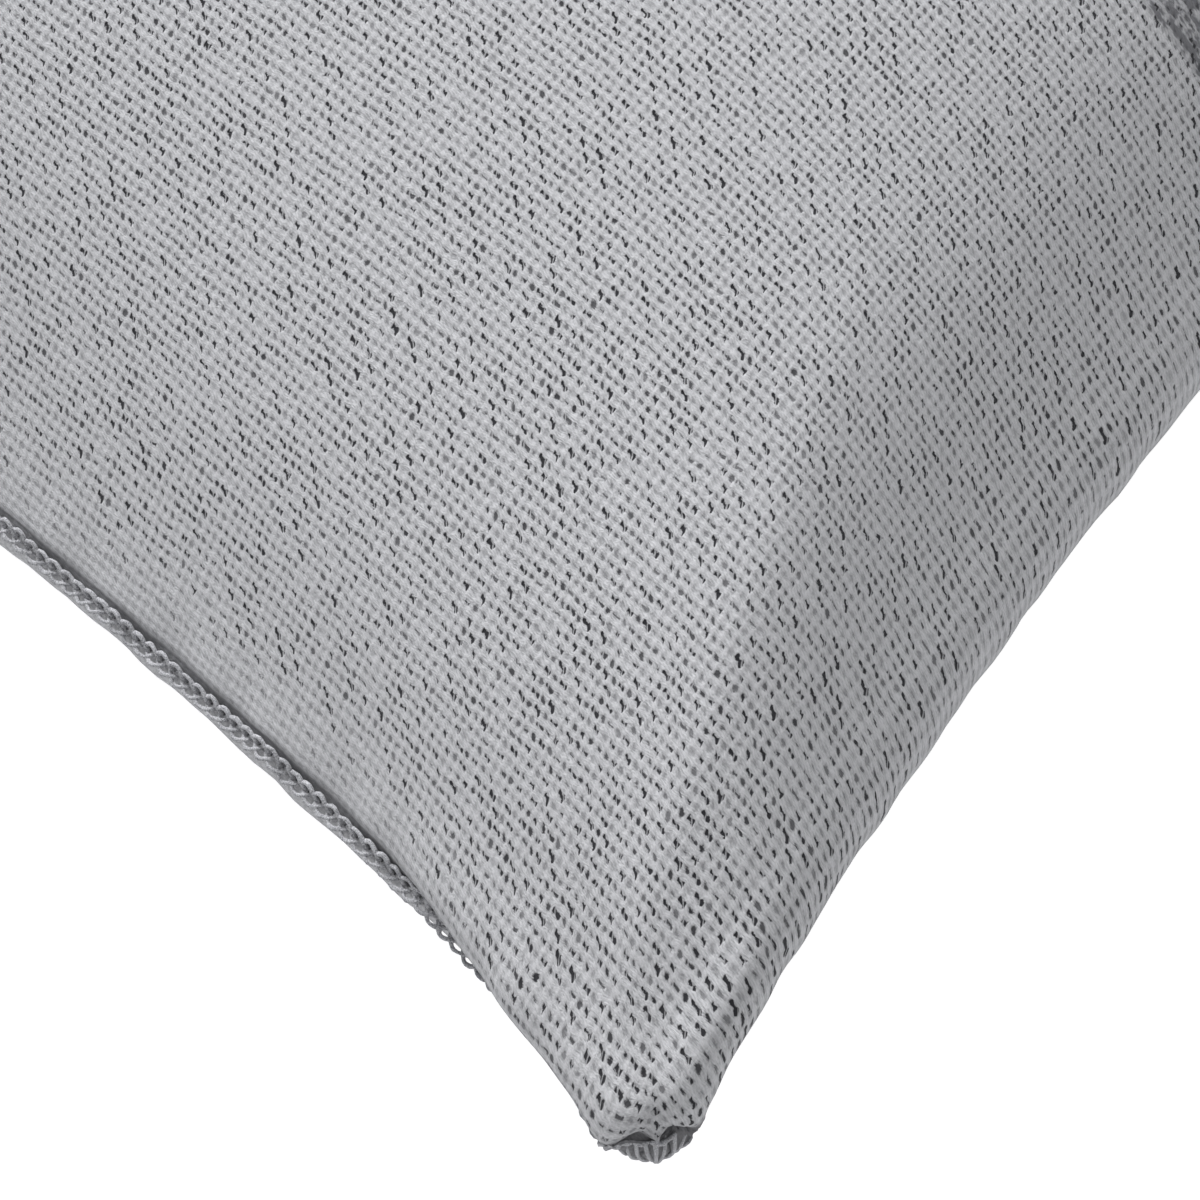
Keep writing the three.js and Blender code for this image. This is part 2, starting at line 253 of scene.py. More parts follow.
def makeStitchGroup():
    sockets = [("Place", "NodeSocketVector"), ("Openness", "NodeSocketFloat"), ("Slit", "NodeSocketFloat")]
    results = [("Hole", "NodeSocketFloat"), ("Height", "NodeSocketFloat"), ("FibreAndShade", "NodeSocketFloat")]
    tree, given, out = newGroup("openKnit", sockets, results)
    wander = noise(tree, given["Place"], 0.22, 2.0, 0.6, "Color")
    jitter = noise(tree, given["Place"], 0.9, 1.0, 0.5, "Color")
    wander = vectorCalc(tree, "SUBTRACT", wander, (0.5, 0.5, 0.5))
    jitter = vectorCalc(tree, "SUBTRACT", jitter, (0.5, 0.5, 0.5))
    moved = vectorCalc(tree, "ADD", given["Place"], vectorCalc(tree, "SCALE", wander, 0.5))
    moved = vectorCalc(tree, "ADD", moved, vectorCalc(tree, "SCALE", jitter, 0.44))
    split = tree.nodes.new("ShaderNodeSeparateXYZ")
    tree.links.new(moved, split.inputs[0])
    p, q = split.outputs[0], split.outputs[1]
    a = calc(tree, "MULTIPLY", calc(tree, "ADD", p, q), 0.5)
    b = calc(tree, "MULTIPLY", calc(tree, "SUBTRACT", p, q), 0.5)
    stretched = vectorCalc(tree, "MULTIPLY", moved, (1.3, 6.5, 1.0))
    fibre = noise(tree, stretched, 1.6, 4.0, 0.62)
    crossed = vectorCalc(tree, "MULTIPLY", given["Place"], (5.0, 2.2, 1.0))
    loose = noise(tree, crossed, 1.7, 3.0, 0.6)
    fibre = calc(tree, "ADD", calc(tree, "MULTIPLY", fibre, 0.65), calc(tree, "MULTIPLY", loose, 0.35))
    frayed = calc(tree, "MULTIPLY", calc(tree, "SUBTRACT", fibre, 0.5), 0.55)
    # slits on the even stitches
    along, across, r1, r2, r3, r4 = holeRow(tree, a, b, 0.0)
    half = calc(tree, "MULTIPLY_ADD", r2, 0.34, 0.20)
    endFade = calc(tree, "SUBTRACT", calc(tree, "ABSOLUTE", along), half)
    inLength = fade(tree, endFade, -0.10, 0.06, 1.0, 0.0)
    bigEnd = fade(tree, calc(tree, "ABSOLUTE", calc(tree, "SUBTRACT", along, 0.28)), 0.0, 0.26, 1.0, 0.0)
    smallEnd = fade(tree, calc(tree, "ABSOLUTE", calc(tree, "ADD", along, 0.34)), 0.0, 0.2, 1.0, 0.0)
    width = calc(tree, "MULTIPLY_ADD", r3, 0.09, 0.05)
    width = calc(tree, "ADD", width, calc(tree, "MULTIPLY", bigEnd, calc(tree, "MULTIPLY", r4, 0.22)))
    width = calc(tree, "MULTIPLY_ADD", smallEnd, 0.07, width)
    width = calc(tree, "MULTIPLY", width, given["Slit"])
    lean = calc(tree, "MULTIPLY_ADD", along, calc(tree, "MULTIPLY_ADD", r1, 0.34, 0.06), across)
    offWidth = calc(tree, "SUBTRACT", calc(tree, "ABSOLUTE", lean), width)
    offWidth = calc(tree, "ADD", offWidth, frayed)
    inWidth = fade(tree, offWidth, -0.05, 0.07, 1.0, 0.0)
    depth = calc(tree, "MULTIPLY_ADD", r1, 0.55, 0.45)
    slit = calc(tree, "MULTIPLY", calc(tree, "MULTIPLY", inLength, inWidth), depth)
    # a stray fibre that crosses each slit
    strayAt = calc(tree, "SUBTRACT", along, calc(tree, "MULTIPLY_ADD", r4, 0.8, -0.4))
    strayAt = calc(tree, "ABSOLUTE", calc(tree, "MULTIPLY_ADD", across, 0.6, strayAt))
    slit = calc(tree, "MULTIPLY", slit, fade(tree, strayAt, 0.04, 0.12, 0.35, 1.0))
    # pinholes on the odd stitches
    along2, across2, s1, s2, s3, s4 = holeRow(tree, a, b, 0.5)
    tilted = calc(tree, "MULTIPLY_ADD", along2, calc(tree, "MULTIPLY_ADD", s3, 0.6, 0.05), across2)
    shorter = calc(tree, "MULTIPLY", along2, calc(tree, "MULTIPLY_ADD", s4, 0.5, 0.45))
    reach = calc(tree, "MULTIPLY", shorter, shorter)
    reach = calc(tree, "ADD", reach, calc(tree, "MULTIPLY", tilted, tilted))
    reach = calc(tree, "ADD", calc(tree, "SQRT", reach), frayed)
    pinSize = calc(tree, "MULTIPLY_ADD", s1, 0.20, 0.08)
    pin = fade(tree, calc(tree, "SUBTRACT", reach, pinSize), -0.08, 0.09, 1.0, 0.0)
    pin = calc(tree, "MULTIPLY", pin, calc(tree, "MULTIPLY_ADD", s2, 0.50, 0.14))
    hole = calc(tree, "MAXIMUM", slit, pin)
    hole = calc(tree, "MULTIPLY", hole, given["Openness"], clamp=True)
    # the yarn between them, rounded, with its own twist and loose fibres; the tone also carries painted shade
    # between the loops and along the rows, and painted light and shade along the twist
    rows = calc(tree, "COSINE", calc(tree, "MULTIPLY", q, 2 * math.pi))
    turn = calc(tree, "ADD", calc(tree, "MULTIPLY", q, 19.0), calc(tree, "MULTIPLY", p, 9.0))
    turn = calc(tree, "SINE", turn)
    columns = calc(tree, "COSINE", calc(tree, "MULTIPLY", a, 2 * math.pi))
    crossing = calc(tree, "COSINE", calc(tree, "MULTIPLY", b, 2 * math.pi))
    loops = calc(tree, "MULTIPLY", columns, crossing)
    height = calc(tree, "MULTIPLY_ADD", rows, -0.04, 0.5)
    height = calc(tree, "MULTIPLY_ADD", loops, -0.20, height)
    height = calc(tree, "MULTIPLY_ADD", turn, 0.05, height)
    height = calc(tree, "ADD", height, calc(tree, "MULTIPLY", calc(tree, "SUBTRACT", fibre, 0.5), 1.0))
    height = calc(tree, "SUBTRACT", height, calc(tree, "MULTIPLY", hole, 1.1))
    # painted shade: the tone dips between the loops and along the rows, and follows the twist as painted
    # light and shade
    shade = calc(tree, "MULTIPLY_ADD", rows, -0.02, fibre)
    shade = calc(tree, "ADD", shade, calc(tree, "MULTIPLY", turn, 0.035))
    shade = calc(tree, "MULTIPLY_ADD", loops, -0.075, shade)
    tree.links.new(hole, out["Hole"])
    tree.links.new(height, out["Height"])
    tree.links.new(shade, out["FibreAndShade"])
    return tree


def makeFibreGroup():
    sockets = [("Place", "NodeSocketVector"), ("Size", "NodeSocketFloat")]
    results = [("Fuzz", "NodeSocketFloat"), ("Mottle", "NodeSocketFloat")]
    tree, given, out = newGroup("looseFibre", sockets, results)
    place = tree.nodes.new("ShaderNodeVectorMath")
    place.operation = "SCALE"
    tree.links.new(given["Place"], place.inputs[0])
    tree.links.new(calc(tree, "DIVIDE", 1.0, given["Size"]), place.inputs["Scale"])
    fine = noise(tree, place.outputs[0], 1.0, 4.0, 0.65)
    broad = noise(tree, place.outputs[0], 0.07, 2.0, 0.5)
    tree.links.new(fine, out["Fuzz"])
    tree.links.new(broad, out["Mottle"])
    return tree


def makeWeaveGroup():
    sockets = [("Place", "NodeSocketVector"), ("Pitch", "NodeSocketFloat")]
    results = [("Height", "NodeSocketFloat"), ("Gap", "NodeSocketFloat")]
    tree, given, out = newGroup("plainWeave", sockets, results)
    scaled = tree.nodes.new("ShaderNodeVectorMath")
    scaled.operation = "SCALE"
    tree.links.new(given["Place"], scaled.inputs[0])
    tree.links.new(calc(tree, "DIVIDE", math.pi, given["Pitch"]), scaled.inputs["Scale"])
    split = tree.nodes.new("ShaderNodeSeparateXYZ")
    tree.links.new(scaled.outputs[0], split.inputs[0])
    up = calc(tree, "ABSOLUTE", calc(tree, "SINE", split.outputs[0]))
    side = calc(tree, "ABSOLUTE", calc(tree, "SINE", split.outputs[2]))
    over = calc(tree, "SINE", calc(tree, "MULTIPLY", split.outputs[0], 0.5))
    over = calc(tree, "MULTIPLY", over, calc(tree, "SINE", calc(tree, "MULTIPLY", split.outputs[2], 0.5)))
    height = calc(tree, "ADD", calc(tree, "MULTIPLY", up, side), calc(tree, "MULTIPLY", over, 0.5))
    tree.links.new(height, out["Height"])
    tree.links.new(calc(tree, "SUBTRACT", 1.0, calc(tree, "MULTIPLY", up, side), clamp=True), out["Gap"])
    return tree


openKnit = makeStitchGroup()
looseFibre = makeFibreGroup()
plainWeave = makeWeaveGroup()

# Materials

knitLook = {
    "stitches": 254.0,  # across each panel
    "light": (0.655, 0.66, 0.685, 1.0),
    "shade": (0.40, 0.405, 0.425, 1.0),
    # painted shade: the dark colour of the stitch openings, where the shaded inside shows through; the seam
    # shade also goes towards it
    "hole": (0.028, 0.028, 0.033, 1.0),
    "darkYarn": (0.125, 0.127, 0.14, 1.0),
    "bandHalf": 0.061,  # half the width of the darker band, as a share of the panel
    "bump": 0.68,
    "depth": 0.0009,
}


def makeKnit(name, slitWidth):
    material, tree, shader = newMaterial(name)
    place = mapPlace(tree, "weave")
    stitches = vectorCalc(tree, "SCALE", place, knitLook["stitches"])
    open_ = tree.nodes.new("ShaderNodeAttribute")
    open_.attribute_name = "openness"
    knit = placeGroup(tree, openKnit, Place=stitches, Openness=open_.outputs["Fac"], Slit=slitWidth)
    # the darker yarn band across the front, its two yarns mixed stitch by stitch
    split = tree.nodes.new("ShaderNodeSeparateXYZ")
    tree.links.new(place, split.inputs[0])
    off = calc(tree, "ABSOLUTE", calc(tree, "SUBTRACT", split.outputs[1], 0.5))
    band = fade(tree, off, knitLook["bandHalf"], knitLook["bandHalf"] + 0.002, 1.0, 0.0)
    mixed = noise(tree, vectorCalc(tree, "MULTIPLY", stitches, (0.5, 1.0, 1.0)), 1.1, 2.0, 0.7)
    mixed = fade(tree, mixed, 0.40, 0.56)
    band = calc(tree, "MULTIPLY", band, calc(tree, "MULTIPLY_ADD", mixed, 0.65, 0.25))
    # the yarn colour runs from the shade colour to the light one with the fibres and with the painted shade
    # between the loops
    soft = fade(tree, knit["FibreAndShade"], 0.32, 0.66)
    yarn = mixColour(tree, soft, knitLook["shade"], knitLook["light"])
    cloud = noise(tree, vectorCalc(tree, "SCALE", place, 9.0), 1.0, 3.0, 0.55)
    yarn = mixColour(tree, fade(tree, cloud, 0.3, 0.75, 0.0, 0.14), yarn, (0.52, 0.52, 0.545, 1.0))
    yarn = mixColour(tree, band, yarn, knitLook["darkYarn"])
    # the openings between stitches are real; their dark colour is painted shade
    colour = mixColour(tree, fade(tree, knit["Hole"], 0.04, 0.7), yarn, knitLook["hole"])
    # painted shade: the knit colour goes towards the hole colour beside the seams and over the ear tips,
    # where shade falls in the groove and the gathers
    paintedSeamShade = tree.nodes.new("ShaderNodeAttribute")
    paintedSeamShade.attribute_name = "paintedSeamShade"
    colour = mixColour(tree, calc(tree, "MULTIPLY", paintedSeamShade.outputs["Fac"], 0.85), colour, knitLook["hole"])
    tree.links.new(colour, shader.inputs["Base Color"])
    shader.inputs["Specular IOR Level"].default_value = 0.18
    shader.inputs["Sheen Weight"].default_value = 0.08
    shader.inputs["Sheen Roughness"].default_value = 0.55
    tree.links.new(fade(tree, knit["FibreAndShade"], 0.2, 0.8, 0.95, 0.78), shader.inputs["Roughness"])
    bumpInto(tree, shader, knit["Height"], knitLook["bump"], knitLook["depth"])
    return material


def makeYarn(name, dark, light, size, roughness=0.9, depth=0.0002, sheen=0.2):
    material, tree, shader = newMaterial(name)
    fibre = placeGroup(tree, looseFibre, Place=objectPlace(tree), Size=size)
    colour = mixColour(tree, fade(tree, fibre["Fuzz"], 0.35, 0.62), dark, light)
    shadeMask = fade(tree, fibre["Mottle"], 0.3, 0.8, 0.0, 0.25)
    colour = mixColour(tree, shadeMask, colour, dark)
    tree.links.new(colour, shader.inputs["Base Color"])
    rough = fade(tree, fibre["Fuzz"], 0.2, 0.8, roughness, roughness - 0.15)
    tree.links.new(rough, shader.inputs["Roughness"])
    shader.inputs["Sheen Weight"].default_value = sheen
    shader.inputs["Specular IOR Level"].default_value = 0.2
    bumpInto(tree, shader, fibre["Fuzz"], 0.6, depth)
    return material


def makeWoven(name, thread, gap, pitch, depth):
    material, tree, shader = newMaterial(name)
    place = objectPlace(tree)
    weave = placeGroup(tree, plainWeave, Place=place, Pitch=pitch)
    fibre = placeGroup(tree, looseFibre, Place=place, Size=pitch * 0.4)
    height = calc(tree, "MULTIPLY_ADD", fibre["Fuzz"], 0.5, weave["Height"])
    # painted shade: the colour goes towards the gap colour between the threads, where they dip; the fuzz
    # below also mottles towards it at random
    colour = mixColour(tree, fade(tree, weave["Gap"], 0.55, 1.0, 0.0, 0.8), thread, gap)
    colour = mixColour(tree, fade(tree, fibre["Fuzz"], 0.35, 0.75, 0.25, 0.0), colour, gap)
    tree.links.new(colour, shader.inputs["Base Color"])
    tree.links.new(fade(tree, weave["Gap"], 0.0, 1.0, 0.72, 0.92), shader.inputs["Roughness"])
    shader.inputs["Sheen Weight"].default_value = 0.12
    bumpInto(tree, shader, height, 0.5, depth)
    return material


def makeMetal(name, clean, worn):
    material, tree, shader = newMaterial(name)
    place = objectPlace(tree)
    scratches = noise(tree, vectorCalc(tree, "MULTIPLY", place, (260.0, 2600.0, 900.0)), 1.0, 3.0, 0.6)
    grime = noise(tree, place, 420.0, 3.0, 0.6)
    geometry = tree.nodes.new("ShaderNodeNewGeometry")
    edge = fade(tree, geometry.outputs["Pointiness"], 0.5, 0.58)
    mask = calc(tree, "MAXIMUM", edge, fade(tree, scratches, 0.62, 0.78, 0.0, 0.5))
    colour = mixColour(tree, mask, clean, worn)
    tree.links.new(colour, shader.inputs["Base Color"])
    shader.inputs["Metallic"].default_value = 1.0
    tree.links.new(fade(tree, grime, 0.3, 0.7, 0.26, 0.42), shader.inputs["Roughness"])
    bumpInto(tree, shader, scratches, 0.12, 0.00004)
    return material


def makeFloor():
    material, tree, shader = newMaterial("paleFloor")
    dust = noise(tree, objectPlace(tree), 3.0, 2.0, 0.5)
    nearWhite = studio["floorShade"]
    colour = mixColour(tree, dust, nearWhite, (0.92, 0.92, 0.925, 1.0))
    tree.links.new(colour, shader.inputs["Base Color"])
    shader.inputs["Roughness"].default_value = 0.9
    shader.inputs["Emission Color"].default_value = (1.0, 1.0, 1.0, 1.0)
    path = tree.nodes.new("ShaderNodeLightPath")
    seen = path.outputs["Is Camera Ray"]
    glow = calc(tree, "MULTIPLY_ADD", seen, studio["floorGlow"], studio["floorBounce"])
    tree.links.new(glow, shader.inputs["Emission Strength"])
    return material


frontKnit = makeKnit("greyKnitFront", 1.0)
backKnit = makeKnit("greyKnitBack", 0.8)
linkingYarn = makeYarn("linkingYarn", (0.17, 0.172, 0.19, 1), (0.56, 0.565, 0.59, 1), 0.00022)
sewingThread = makeYarn("sewingThread", (0.36, 0.365, 0.39, 1), (0.60, 0.605, 0.63, 1), 0.00010)
insertThread = makeYarn("insertThread", (0.70, 0.69, 0.66, 1), (0.86, 0.85, 0.82, 1), 0.00010)
insertCotton = makeWoven("insertCotton", (0.84, 0.83, 0.80, 1), (0.60, 0.59, 0.57, 1), 0.0009, 0.00015)
fibreFill = makeYarn("fibreFill", (0.74, 0.74, 0.74, 1), (0.92, 0.92, 0.92, 1), 0.0018, 0.95, 0.001, 0.4)
zipTape = makeWoven("zipTape", (0.40, 0.405, 0.43, 1), (0.17, 0.17, 0.19, 1), 0.0006, 0.00016)
zipCoil = makeYarn("zipCoil", (0.34, 0.345, 0.37, 1), (0.47, 0.475, 0.50, 1), 0.0006, 0.5, 0.00003, 0.0)
zipMetal = makeMetal("zipMetal", (0.24, 0.24, 0.25, 1), (0.42, 0.42, 0.43, 1))
labelRibbon = makeWoven("labelRibbon", (0.80, 0.80, 0.79, 1), (0.58, 0.58, 0.57, 1), 0.0005, 0.00008)
floor.data.materials.append(makeFloor())
print("materials ready")

# Pillow cover

pillow = {
    "reach": 0.2235,  # half the width, ear to ear
    "pullIn": 0.0155,  # the middle of each side stands this much further in
    "bow": 2.6,
    "zipHalf": 0.150,
    "zipBow": 1.6,
    "seamLevel": 0.062,
    "topLevel": 0.1425,
    "floorGap": 0.0003,
    "flatEase": 0.006,  # how softly the underside turns flat
    "frontCrown": 0.080,
    "backCrown": 0.064,
    "spread": 1.75,
    "endSteepness": (1.0, 0.85),  # front and rear sides of the front panel, at the middle and at the ears
    "sideSteepness": (0.54, 0.44),
    "backSteepness": (0.50, 0.46),
    "earPower": 1.8,
    "ridge": 6.0,
    "earRound": 0.075,
    "cells": 60,
    "fineCells": 200,
    "crowding": 0.55,  # how much finer the mesh is along the seams
    "pressure": 3.0,
    "frames": 16,
    "cap": 0.006,
    "ironing": 3,
    "firmness": 0.8,
}


def swing(s, start, power):
    return np.clip((np.abs(s) - start) / (1 - start), 0, 1) ** power


def rise(s, across, steepness):
    power = steepness[0] + (steepness[1] - steepness[0]) * np.abs(across) ** pillow["earPower"]
    return np.clip(1 - np.abs(s) ** pillow["spread"], 1e-9, 1) ** power


def lowest(a, b, sharpness):
    return ((a ** -sharpness + b ** -sharpness) * 0.5) ** (-1 / sharpness)


def smooth(x, low, high):
    t = np.clip((x - low) / (high - low), 0, 1)
    return t * t * (3 - 2 * t)


def startShape(count, side):
    # Rows run along X from left to right, and from the front side to the rear one
    line = np.linspace(-1, 1, count + 1)
    u, v = np.meshgrid(line, line)
    share = pillow["earRound"]
    a = np.clip((np.abs(u) - 1 + share) / share, 0, 1)
    b = np.clip((np.abs(v) - 1 + share) / share, 0, 1)
    ru = np.sign(u) * (np.abs(u) - share * a * (1 - np.sqrt(1 - b * b / 2)))
    rv = np.sign(v) * (np.abs(v) - share * b * (1 - np.sqrt(1 - a * a / 2)))
    reachX = pillow["reach"] - pillow["pullIn"] * (1 - swing(v, 0, pillow["bow"]))
    frontY = pillow["reach"] - pillow["pullIn"] * (1 - swing(u, 0, pillow["bow"]))
    zipShare = pillow["zipHalf"] / pillow["reach"]
    rearY = pillow["reach"] - pillow["pullIn"] * (1 - swing(u, zipShare, pillow["zipBow"]))
    rear = smooth(v, -0.2, 0.8)
    y = rv * (frontY * (1 - rear) + rearY * rear)
    ends = pillow["endSteepness"] if side > 0 else pillow["backSteepness"]
    sides = pillow["sideSteepness"] if side > 0 else pillow["backSteepness"]
    height = lowest(rise(v, u, ends), rise(u, v, sides), pillow["ridge"])
    height *= (np.abs(u) < 0.9999) & (np.abs(v) < 0.9999)
    crown = pillow["frontCrown"] if side > 0 else -pillow["backCrown"]
    return np.stack([ru * reachX, y, pillow["seamLevel"] + crown * height], -1)


def addPanel(name, shape):
    cells = len(shape) - 1
    bpy.ops.mesh.primitive_grid_add(x_subdivisions=cells, y_subdivisions=cells, size=2, calc_uvs=True)
    panel = bpy.context.object
    panel.name = name
    panel.data.vertices.foreach_set("co", shape.reshape(-1).astype(np.float32))
    panel.data.update()
    return panel


def readPlaces(piece):
    places = np.empty(len(piece.data.vertices) * 3)
    piece.data.vertices.foreach_get("co", places)
    return places.reshape(-1, 3)


def flipFaces(piece):
    takeOnly(piece)
    bpy.ops.object.mode_set(mode="EDIT")
    bpy.ops.mesh.select_all(action="SELECT")
    bpy.ops.mesh.flip_normals()
    bpy.ops.object.mode_set(mode="OBJECT")


def ironOut(field):
    # Takes the small sharp creases out of a movement, along the edges as well as inside
    field = field.copy()
    for _ in range(pillow["ironing"]):
        inner = (field[:-2] + field[2:] + 2 * field[1:-1]) / 4
        edges = field[[0, -1]]
        field = np.concatenate([edges[:1], inner, edges[1:]])
        field = field.transpose(1, 0, 2)
        inner = (field[:-2] + field[2:] + 2 * field[1:-1]) / 4
        edges = field[[0, -1]]
        field = np.concatenate([edges[:1], inner, edges[1:]]).transpose(1, 0, 2)
    return field


def inflate(front, back):
    # Sews the two panels together and lets air into them as cloth
    clearSelection()
    upper = addPanel("sewnShell", front)
    lower = addPanel("lowerShell", back)
    flipFaces(lower)
    for panel, side in ((upper, 0), (lower, 1)):
        tag = panel.data.attributes.new("gridPlace", "INT", "POINT")
        tag.data.foreach_set("value", np.arange(len(panel.data.vertices)) + side * front[..., 0].size)
    clearSelection()
    upper.select_set(True)
    lower.select_set(True)
    bpy.context.view_layer.objects.active = upper
    bpy.ops.object.join()
    bpy.ops.object.mode_set(mode="EDIT")
    bpy.ops.mesh.select_all(action="SELECT")
    bpy.ops.mesh.remove_doubles(threshold=0.00001)
    bpy.ops.object.mode_set(mode="OBJECT")
    start = readPlaces(upper)
    cloth = upper.modifiers.new("inflate", "CLOTH")
    knit = cloth.settings
    knit.quality = 6
    knit.mass = 0.1
    knit.tension_stiffness = 5
    knit.compression_stiffness = 5
    knit.shear_stiffness = 1.5
    knit.bending_stiffness = 0.05
    knit.air_damping = 3
    knit.use_pressure = True
    knit.uniform_pressure_force = pillow["pressure"]
    knit.effector_weights.gravity = 0
    cloth.collision_settings.use_collision = False
    cloth.collision_settings.use_self_collision = False
    cloth.point_cache.frame_end = pillow["frames"]
    for step in range(1, pillow["frames"] + 1):
        bpy.context.scene.frame_set(step)
    takeOnly(upper)
    bpy.ops.object.modifier_apply(modifier="inflate")
    bpy.context.scene.frame_set(1)
    moved = readPlaces(upper) - start
    length = np.linalg.norm(moved, axis=1, keepdims=True)
    moved *= pillow["cap"] * np.tanh(length / pillow["cap"]) / np.maximum(length, 1e-9)
    places = start + moved
    tags = np.empty(len(places), dtype=np.int32)
    upper.data.attributes["gridPlace"].data.foreach_get("value", tags)
    both = np.full((2 * front[..., 0].size, 3), np.nan)
    both[tags] = places
    both = both.reshape(2, *front.shape)
    for a, b in ((0, 1), (1, 0)):
        gap = np.isnan(both[a])
        both[a][gap] = both[b][gap]
    both = [shape + ironOut(moved - shape) for moved, shape in zip(both, (front, back))]
    bpy.data.objects.remove(upper)
    print("panels inflated, furthest point moved", round(float(length.max() * 1000), 1), "mm")
    return both[0], both[1]


def settle(front, back):
    # Brings the inflated panels back to the outline and thickness, with the flat patch it lies on
    tops = front[..., 2] - pillow["seamLevel"]
    front[..., 2] = pillow["seamLevel"] + tops * (pillow["topLevel"] - pillow["seamLevel"]) / tops.max()
    for axis in (0, 1):
        share = pillow["reach"] / np.abs(front[..., axis]).max()
        front[..., axis] *= share
        back[..., axis] *= share
    depth = pillow["seamLevel"] - back[..., 2]
    limit = pillow["seamLevel"] - pillow["floorGap"]
    soft = pillow["flatEase"]
    over = np.clip((depth - limit + soft) / (2 * soft), 0, 1)
    back[..., 2] = pillow["seamLevel"] - np.where(depth > limit + soft, limit, depth - soft * over ** 2)
    return front, back


def cubicWeights(count, places):
    # Rows of weights that read a curve of count + 1 even points at the given places, 0 to 1
    weights = np.zeros((len(places), count + 1))
    for row, place in enumerate(np.asarray(places) * count):
        cell = min(int(place), count - 1)
        t = place - cell
        near = (
            -0.5 * t + t * t - 0.5 * t ** 3,
            1 - 2.5 * t * t + 1.5 * t ** 3,
            0.5 * t + 2 * t * t - 1.5 * t ** 3,
            -0.5 * t * t + 0.5 * t ** 3,
        )
        for step, weight in zip((-1, 0, 1, 2), near):
            at = cell + step
            if at < 0:
                weights[row, 0] += 2 * weight
                weights[row, 1] -= weight
            elif at > count:
                weights[row, count] += 2 * weight
                weights[row, count - 1] -= weight
            else:
                weights[row, at] += weight
    return weights


def refine(panel, places):
    weights = cubicWeights(len(panel) - 1, places)
    return np.einsum("ai,bj,ijc->abc", weights, weights, panel)


def surfaceNormals(panel):
    alongX = np.gradient(panel, axis=1)
    alongY = np.gradient(panel, axis=0)
    normal = np.cross(alongX, alongY)
    return normal / np.maximum(np.linalg.norm(normal, axis=-1, keepdims=True), 1e-12)


def ripple(line, seed):
    # An uneven wave along a seam, between -1 and 1
    rng = np.random.default_rng(seed)
    total = np.zeros_like(line)
    for wave, weight in ((0.062, 0.8), (0.034, 0.9), (0.019, 1.0), (0.0125, 0.7), (0.0085, 0.35)):
        total += weight * np.sin(2 * np.pi * line / wave + rng.uniform(0, 2 * np.pi))
    return total / 2.2


# The crease of each ear: its X and Y side, start, spread, height, width and far end
creases = (
    (1, -1, 0.016, 0.31, 0.0026, 0.015, 0.150),
    (-1, -1, 0.010, 0.55, 0.0016, 0.018, 0.110),
    (1, 1, 0.012, 0.60, 0.0015, 0.020, 0.120),
    (-1, 1, 0.014, 0.42, 0.0018, 0.017, 0.130),
)


def foldEars(panel, u, v):
    # Raises the soft crease that runs from each ear into the front, along the corner of the insert
    lift = np.zeros_like(u)
    for signX, signY, startAt, slope, height, width, far in creases:
        fromSide = (1 - signX * u) * pillow["reach"]
        fromEnd = (1 - signY * v) * pillow["reach"]
        off = (fromSide - startAt - slope * fromEnd) / math.hypot(1, slope)
        soft = np.sqrt(off ** 2 + 0.0016 ** 2)
        share = smooth(fromEnd, 0.004, 0.030) * (1 - smooth(fromEnd, 0.5 * far, far))
        lift += height * np.exp(-soft / width) * share * smooth(fromSide, 0.0, 0.010)
    return panel + surfaceNormals(panel) * lift[..., None]


sewing = {
    "sideReach": 0.008,  # how far from a side its own direction counts
    "tip": (0.930, 0.972),  # where the very tip of an ear starts and is full, as a share of the panel
    "ear": (0.64, 0.84),
    "zipSide": (0.5, 0.9),
    "pullReach": 0.0042,
    "earInset": 0.0016,
    "waver": 0.0008,
    "puckerStart": 0.0028,
    "puckerReach": 0.012,
    "zipCalm": 0.75,  # less pucker beside the zip
    "bulgeAt": 0.0045,
    "grooveAt": 0.0012,
    "grooveWidth": 0.0011,
    "rimReach": 0.012,
    # painted shade laid over the tip of each ear
    "tipShade": 0.22,
    "inset": (0.0020, 0.0056),  # how far the seam draws in along the front and rear sides, and the other two
    "lift": (0.0022, -0.0045),
    "backBulge": (0.0024, -0.0010),  # how far the back panel stands out beyond the seam
    "frontBulge": (0.0, 0.0046),
    "earBulge": (0.0046, -0.0010),  # front and back, along the sides of each ear
    "tipBulge": (0.0, 0.0),  # front and back, at the very tip
    "knob": 0.0092,  # radius of the blunt end of each ear
    "knobBack": 0.0074,  # its centre, inwards from the seam's tip
    "knobDown": 0.0052,  # and below it
    "knobSharp": 5.0,
    "earLift": -0.0050,
    "tipLift": 0.0030,
    "pucker": 0.0006,
    "groove": 0.0007,
    "paintedShadeReach": 0.0024,  # how far the painted shade beside the seams goes
    "rimHalf": 0.157,  # the rims part between these two places, from the middle
    "rimEnd": 0.171,
    "rimLine": 0.2076,
    "rimGap": 0.0046,
}


